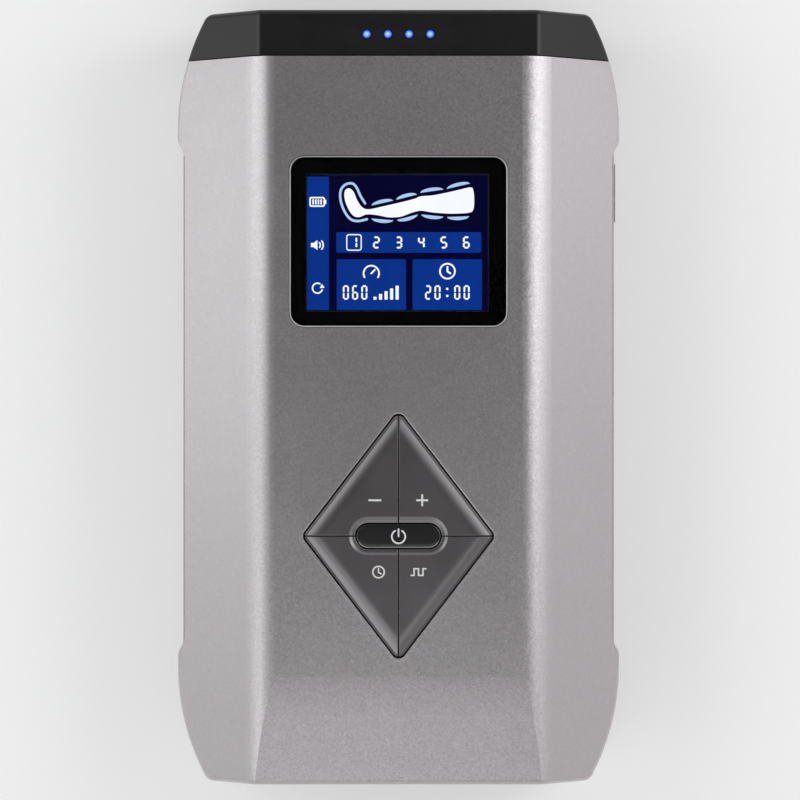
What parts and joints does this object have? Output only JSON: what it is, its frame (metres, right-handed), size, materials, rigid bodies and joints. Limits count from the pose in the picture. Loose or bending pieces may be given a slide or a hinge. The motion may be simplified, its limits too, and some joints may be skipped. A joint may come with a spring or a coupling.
{
  "type": "compression therapy pump",
  "caption": "Portable air pump and control unit for compression garments, with a colour display, a diamond key pad, status lights and hose outlets at the head end.",
  "frame": {"origin": "on the ground under the middle of the unit, which lies on its back on its feet", "axes": "+X to the user's right, +Y towards the head end with the air outlets, +Z out of the front face"},
  "size_m": [0.1218, 0.21, 0.0629],
  "materials": {
    "case_silver": "silver metallic paint on moulded plastic, fine sparkle",
    "side_silver": "smooth silver paint on moulded plastic",
    "cap_black": "dark satin plastic",
    "key_grey": "dark grey satin key plastic",
    "power_black": "glossy black plastic",
    "bright_rim": "bright plated trim",
    "display_glass": "dark inked cover glass",
    "screen": "lit colour screen",
    "foam": "closed-cell foam",
    "inner_black": "moulded black plastic",
    "circuit_green": "green solder mask",
    "circuit_parts": "moulded components",
    "steel": "plated steel",
    "light_pipe": "clear light pipe, lit blue",
    "lamp": "surface lamp",
    "outlet_plastic": "black moulded plastic",
    "hose_clear": "translucent silicone hose",
    "manifold_grey": "natural moulded plastic",
    "valve_steel": "valve frame",
    "motor_steel": "motor can",
    "copper_rotor": "laminations and windings",
    "pump_white": "natural moulded plastic",
    "black_rubber": "moulded rubber",
    "cell_wrap": "shrink-wrapped cells"
  },
  "bodies": {
    "case": {"front_shell": "case_silver", "rear_shell": "case_silver", "top_cap": "cap_black", "left_side_panel": "side_silver", "right_side_panel": "side_silver", "display_lens": "display_glass", "display_gasket": "foam", "display_module": "screen", "display_holder": "inner_black", "power_rim_ring": "bright_rim", "key_switches": "circuit_parts", "main_board": "circuit_green", "board_screws": "steel", "board_components": "circuit_parts", "buzzer": "inner_black", "indicator_board": "circuit_green", "indicator_lamps": "lamp", "light_pipes": "light_pipe", "outlet_block_left": "outlet_plastic", "outlet_block_right": "outlet_plastic", "outlet_hoses": "hose_clear", "air_manifold": "manifold_grey", "pump_hose": "hose_clear", "pressure_sensor": "circuit_parts", "sensor_hose": "hose_clear", "motor_can": "motor_steel", "pump_housing": "pump_white", "pump_diaphragm": "black_rubber", "pump_cover": "pump_white", "pump_bracket": "inner_black", "pump_isolators": "black_rubber", "battery_tray": "inner_black", "battery_cells": "cell_wrap", "battery_board": "circuit_green", "inlet_filter": "foam", "charge_board": "circuit_green", "charge_socket": "steel", "flap_hinge_pin": "steel", "case_screws": "steel", "rubber_feet": "black_rubber", "valve_1": "valve_steel", "valve_2": "valve_steel", "valve_3": "valve_steel", "valve_4": "valve_steel"},
    "pressure_down_key": {"pressure_down_key": "key_grey"},
    "pressure_up_key": {"pressure_up_key": "key_grey"},
    "time_key": {"time_key": "key_grey"},
    "mode_key": {"mode_key": "key_grey"},
    "power_key": {"power_key": "power_black"},
    "port_flap": {"charge_port_flap": "side_silver"},
    "rotor": {"motor_rotor": "copper_rotor", "motor_shaft": "steel"},
    "yoke": {"pump_yoke": "pump_white"},
    "plunger_1": {"valve_plunger_1": "steel"},
    "plunger_2": {"valve_plunger_2": "steel"},
    "plunger_3": {"valve_plunger_3": "steel"},
    "plunger_4": {"valve_plunger_4": "steel"}
  },
  "joints": [
    {"name": "pressure_down_press", "type": "slide", "parent": "case", "child": "pressure_down_key", "axis": [0, 0, -1], "range_m": [0, 0.0007], "stiffness_N_per_m": 600},
    {"name": "pressure_up_press", "type": "slide", "parent": "case", "child": "pressure_up_key", "axis": [0, 0, -1], "range_m": [0, 0.0007], "stiffness_N_per_m": 600},
    {"name": "time_press", "type": "slide", "parent": "case", "child": "time_key", "axis": [0, 0, -1], "range_m": [0, 0.0007], "stiffness_N_per_m": 600},
    {"name": "mode_press", "type": "slide", "parent": "case", "child": "mode_key", "axis": [0, 0, -1], "range_m": [0, 0.0007], "stiffness_N_per_m": 600},
    {"name": "power_press", "type": "slide", "parent": "case", "child": "power_key", "axis": [0, 0, -1], "range_m": [0, 0.0007], "stiffness_N_per_m": 600},
    {"name": "port_flap_hinge", "type": "hinge", "parent": "case", "child": "port_flap", "pos_m": [0.05865, 0.0565, 0.03168], "axis": [0, 1, 0], "range_deg": [0, 100]},
    {"name": "pump_spin", "type": "hinge", "parent": "case", "child": "rotor", "pos_m": [0, 0.0196, 0.0226], "axis": [0, 1, 0], "continuous": true},
    {"name": "diaphragm_stroke", "type": "slide", "parent": "case", "child": "yoke", "axis": [0, 0, 1], "range_m": [-0.0008, 0.0008], "stiffness_N_per_m": 120},
    {"name": "valve_1_stroke", "type": "slide", "parent": "case", "child": "plunger_1", "axis": [0, 1, 0], "range_m": [0, 0.0008], "stiffness_N_per_m": 150},
    {"name": "valve_2_stroke", "type": "slide", "parent": "case", "child": "plunger_2", "axis": [0, 1, 0], "range_m": [0, 0.0008], "stiffness_N_per_m": 150},
    {"name": "valve_3_stroke", "type": "slide", "parent": "case", "child": "plunger_3", "axis": [0, 1, 0], "range_m": [0, 0.0008], "stiffness_N_per_m": 150},
    {"name": "valve_4_stroke", "type": "slide", "parent": "case", "child": "plunger_4", "axis": [0, 1, 0], "range_m": [0, 0.0008], "stiffness_N_per_m": 150}
  ]
}
